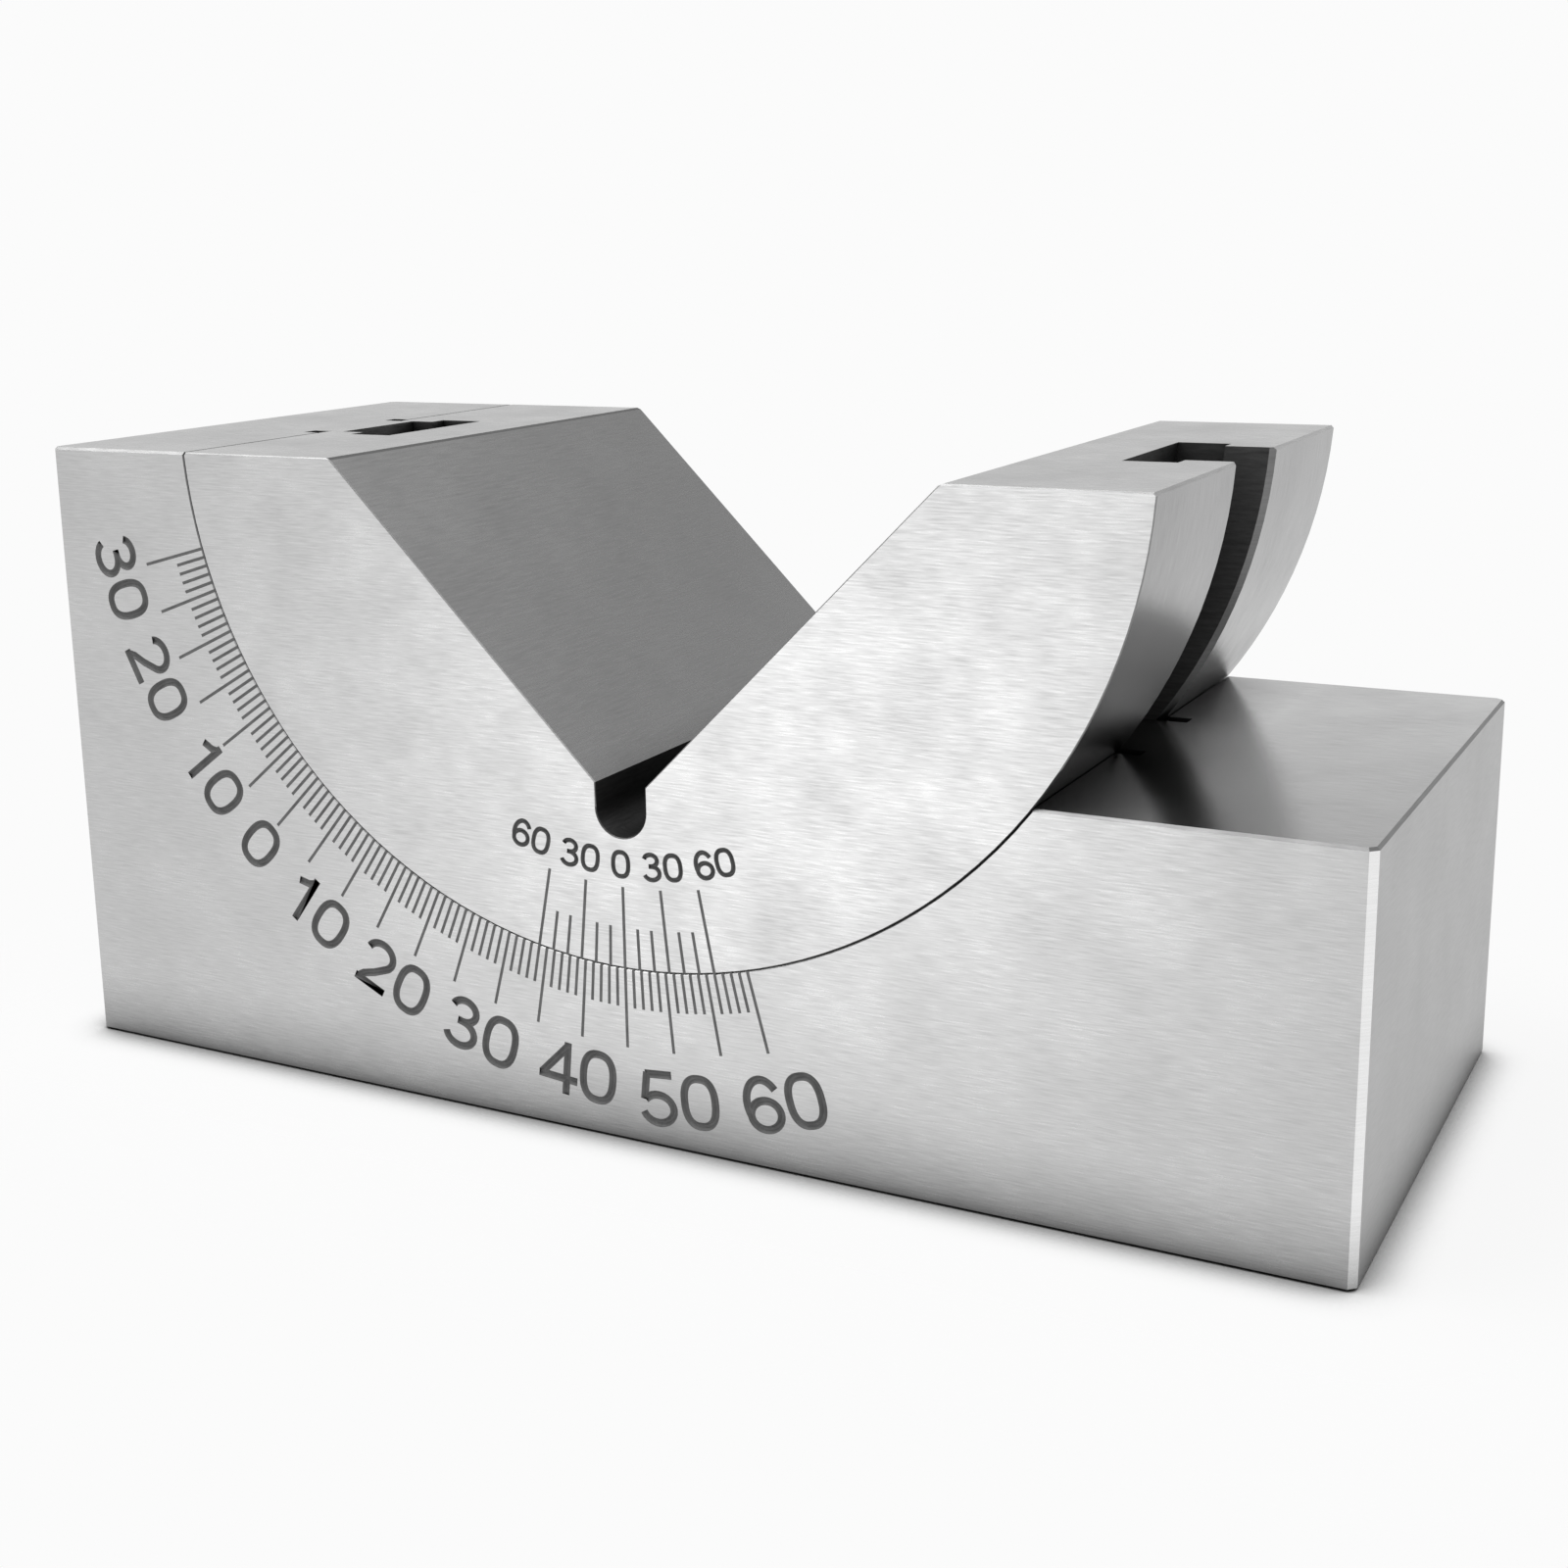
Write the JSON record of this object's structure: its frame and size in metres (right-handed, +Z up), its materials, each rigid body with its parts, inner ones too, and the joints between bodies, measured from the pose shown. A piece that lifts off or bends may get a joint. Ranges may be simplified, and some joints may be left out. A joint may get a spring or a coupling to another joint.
{
  "type": "v block",
  "caption": "Adjustable-angle V block: a steel base with a round seat and a low ledge carries a tilting V insert, read against a degree scale and locked by a screw from below.",
  "frame": {"origin": "centre of the base's underside", "axes": "+Z up, +X from the tall end towards the low ledge, the engraved scale faces -Y"},
  "size_m": [0.102, 0.044, 0.048],
  "materials": {
    "base_steel": "surface ground, fine lines along X",
    "insert_steel": "surface ground, fine lines along X",
    "nut_steel": "milled, lightly oiled",
    "screw_black": "black oxide"
  },
  "bodies": {
    "base": {"block_base": "base_steel"},
    "insert": {"vee_insert": "insert_steel"},
    "nut": {"clamp_nut": "nut_steel"},
    "screw": {"clamp_screw": "screw_black"}
  },
  "joints": [
    {"name": "insert_tilt", "type": "hinge", "parent": "base", "child": "insert", "pos_m": [0, 0, 0.0505], "axis": [0, 1, 0], "range_deg": [-15, 75]},
    {"name": "screw_turn", "type": "hinge", "parent": "base", "child": "screw", "pos_m": [0, 0, 0.0076], "axis": [0, 0, -1], "range_deg": [0, 180]},
    {"name": "nut_lift", "type": "slide", "parent": "base", "child": "nut", "axis": [0, 0, 1], "range_m": [0, 0.0005]}
  ],
  "couplings": [
    {"joint": "nut_lift", "follows": "screw_turn", "m_per_rad": 0.000159}
  ]
}
